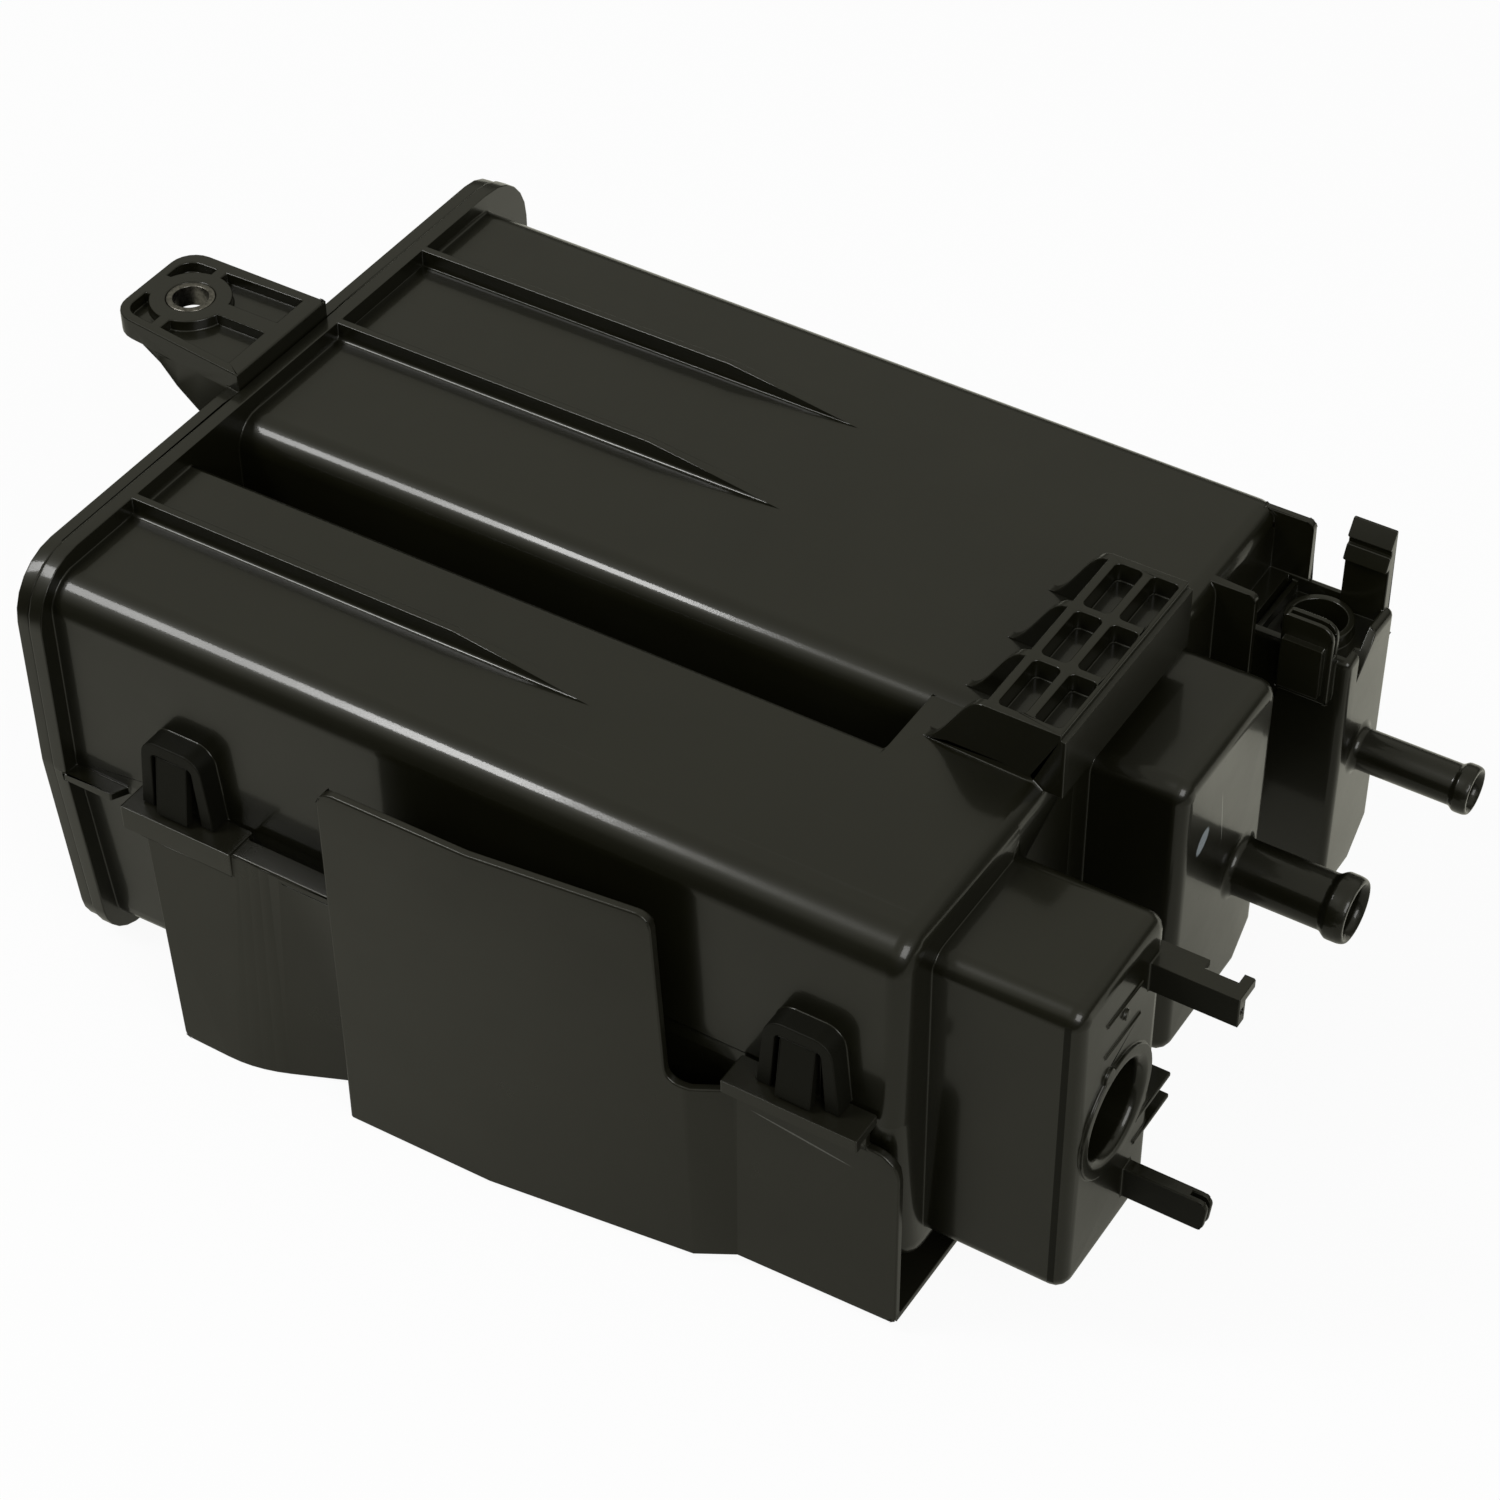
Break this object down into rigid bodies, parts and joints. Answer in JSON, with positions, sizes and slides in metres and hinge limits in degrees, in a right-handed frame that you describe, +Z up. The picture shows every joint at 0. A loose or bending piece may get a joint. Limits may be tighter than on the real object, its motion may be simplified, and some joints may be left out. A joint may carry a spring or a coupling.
{
  "type": "charcoal canister",
  "caption": "Moulded charcoal canister: black housing with side-by-side chambers and hose stubs, a welded rear cover with a bushed mounting tab, and a clip-on side shield; stores fuel vapour.",
  "frame": {"origin": "on the axis of the mounting bolt, level with the top face of the steel bush in the cover's tab", "axes": "+X along the canister from the tab to the hose ports, +Z up along the bolt axis, +Y across to the main chamber's outer side"},
  "size_m": [0.34, 0.2105, 0.1359],
  "materials": {
    "moulded_plastic": "satin",
    "shield_plastic": "matte",
    "plated_steel": "satin",
    "carbon": "matte",
    "felt": "matte",
    "spring_steel": "satin"
  },
  "bodies": {
    "root": {"housing": "moulded_plastic", "rear_cover": "moulded_plastic", "mount_bush": "plated_steel", "side_shield": "shield_plastic", "main_bed": "carbon", "vent_bed": "carbon", "tank_filter": "felt", "purge_filter": "felt", "vent_filter": "felt", "main_rear_filter": "felt", "vent_rear_filter": "felt", "main_plate": "moulded_plastic", "vent_plate": "moulded_plastic", "main_spring_upper": "spring_steel", "main_spring_lower": "spring_steel", "vent_spring_upper": "spring_steel", "vent_spring_lower": "spring_steel"}
  },
  "joints": []
}
